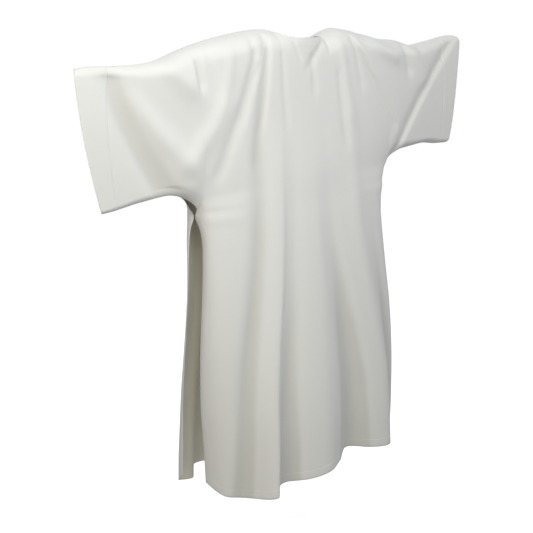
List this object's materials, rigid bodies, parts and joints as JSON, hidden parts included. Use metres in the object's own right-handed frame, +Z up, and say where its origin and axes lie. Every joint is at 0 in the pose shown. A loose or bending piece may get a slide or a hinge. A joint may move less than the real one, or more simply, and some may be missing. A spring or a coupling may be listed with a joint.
{
  "type": "dalmatic",
  "caption": "Wide T-shaped religious vestment of plain ivory cloth, with short broad sleeves, banded cuffs, a round neck and open side slits, hanging open as if worn.",
  "frame": {"origin": "middle of the neck opening at the height of the shoulders, where the wearer's shoulders carry the garment", "axes": "+X to the wearer's left along the sleeves, +Y out of the wearer's back, +Z up"},
  "size_m": [1.4413, 0.4083, 1.3097],
  "materials": {
    "ivory_cloth": "smooth matte plain-woven wool blend, fine weave, soft drape",
    "ivory_band": "the same cloth folded double, stitched down along its inner edge"
  },
  "bodies": {
    "root": {"back_panel": "ivory_cloth", "front_panel": "ivory_cloth", "left_cuff_band": "ivory_band", "right_cuff_band": "ivory_band"}
  },
  "joints": []
}
